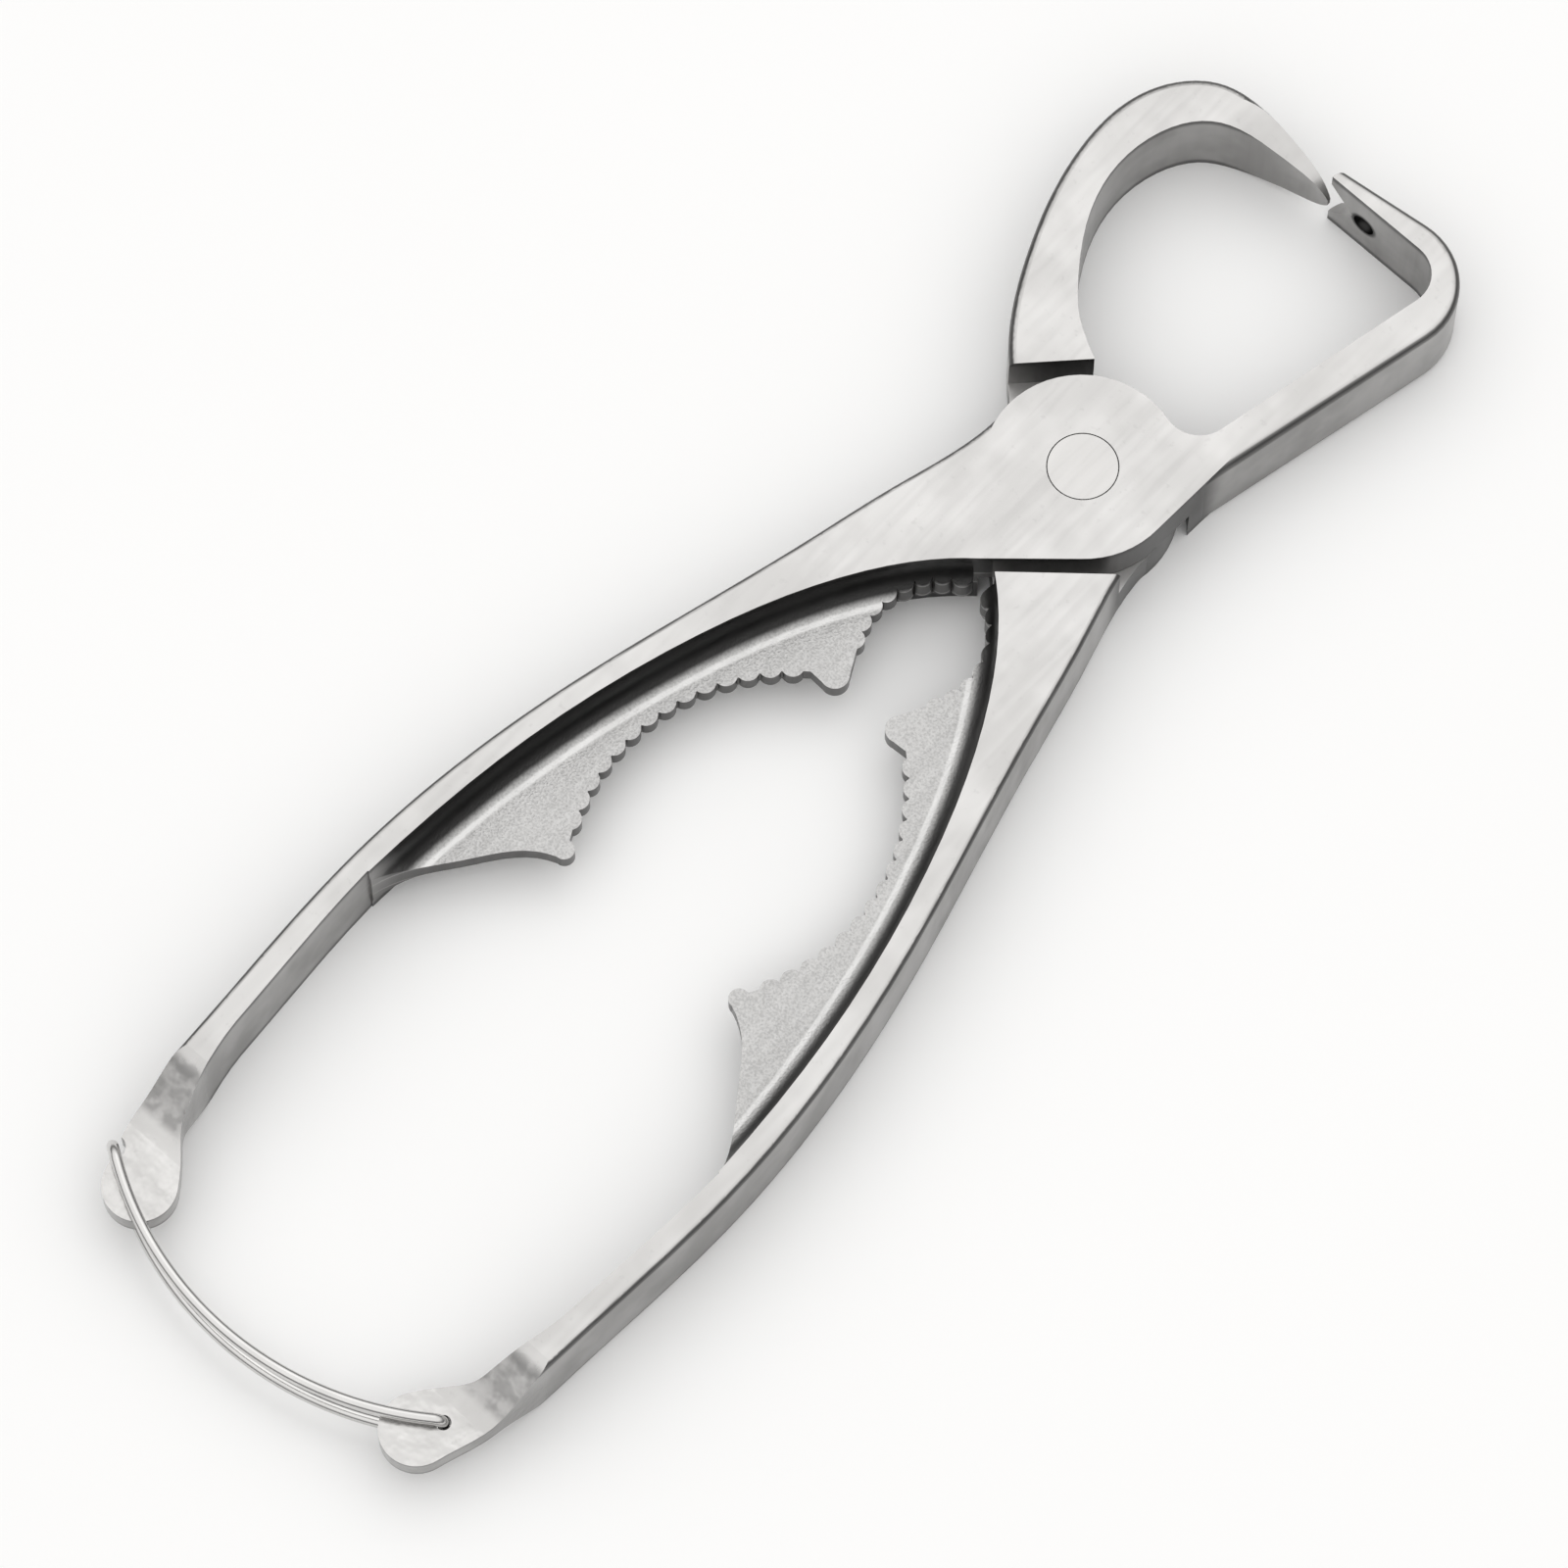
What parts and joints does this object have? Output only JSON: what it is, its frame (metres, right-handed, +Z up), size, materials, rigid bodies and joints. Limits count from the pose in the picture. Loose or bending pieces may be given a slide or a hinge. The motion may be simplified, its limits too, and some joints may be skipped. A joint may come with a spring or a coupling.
{
  "type": "lobster cracker",
  "caption": "Lobster cracker: two crossed cast levers on a flush rivet, a beak meeting a forked hook, serrated webs inside the handles and a wire locking bail.",
  "frame": {"origin": "on the pivot axis, in the plane of the flat underside that the cracker lies on", "axes": "+Z up, normal to the flat faces; +Y from the pivot to the jaws, along the tool; +X towards the hooked jaw"},
  "size_m": [0.063, 0.2045, 0.012],
  "materials": {
    "cast_steel": "satin cast stainless steel, pebbled on the webs",
    "rivet_steel": "ground flush, satin",
    "wire_steel": "bright drawn spring wire"
  },
  "bodies": {
    "lower": {"lower_lever": "cast_steel"},
    "upper": {"upper_lever": "cast_steel", "pivot_rivet": "rivet_steel"},
    "bail": {"locking_bail": "wire_steel"}
  },
  "joints": [
    {"name": "lever_pivot", "type": "hinge", "parent": "lower", "child": "upper", "pos_m": [0, 0, 0.006], "axis": [0, 0, -1], "range_deg": [-2, 40]},
    {"name": "bail_swing", "type": "hinge", "parent": "lower", "child": "bail", "pos_m": [0.0244, -0.1412, 0.006], "axis": [0, 0, 1], "range_deg": [0, 130]}
  ]
}
